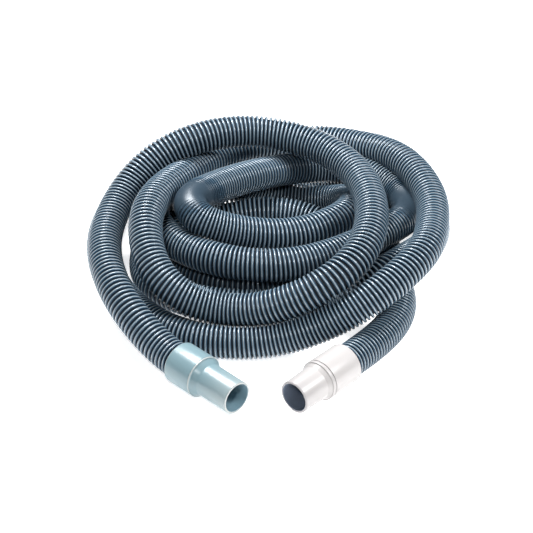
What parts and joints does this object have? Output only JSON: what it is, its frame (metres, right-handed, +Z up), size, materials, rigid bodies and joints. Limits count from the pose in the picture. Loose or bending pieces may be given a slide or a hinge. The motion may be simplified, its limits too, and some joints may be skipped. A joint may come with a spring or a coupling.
{
  "type": "pool vacuum hose",
  "caption": "Corrugated pool suction hose lying in a loose pile of turns, with a fixed cuff on one end and a swivel cuff on the other.",
  "frame": {"origin": "middle of the pile's footprint on the surface it lies on", "axes": "+Z up, +Y across the pile away from the two cuffs, +X to the right as seen from the cuffs"},
  "size_m": [0.5343, 0.6907, 0.1691],
  "materials": {
    "hose_wall": "glossy moulded EVA corrugations, slate blue-grey",
    "grey_cuff": "satin moulded plastic, pale grey-blue",
    "white_cuff": "satin moulded plastic, white"
  },
  "bodies": {
    "hose_and_collars": {"hose_turn_1": "hose_wall", "hose_turn_2": "hose_wall", "hose_turn_3": "hose_wall", "hose_turn_4": "hose_wall", "hose_turn_5": "hose_wall", "hose_turn_6": "hose_wall", "hose_turn_7": "hose_wall", "hose_turn_8": "hose_wall", "fixed_cuff": "grey_cuff", "swivel_collar": "white_cuff"},
    "nose": {"swivel_nose": "white_cuff"}
  },
  "joints": [
    {"name": "cuff_swivel", "type": "hinge", "parent": "hose_and_collars", "child": "nose", "pos_m": [0.098, -0.253, 0.028], "axis": [-0.682, -0.7314, 0], "continuous": true}
  ]
}
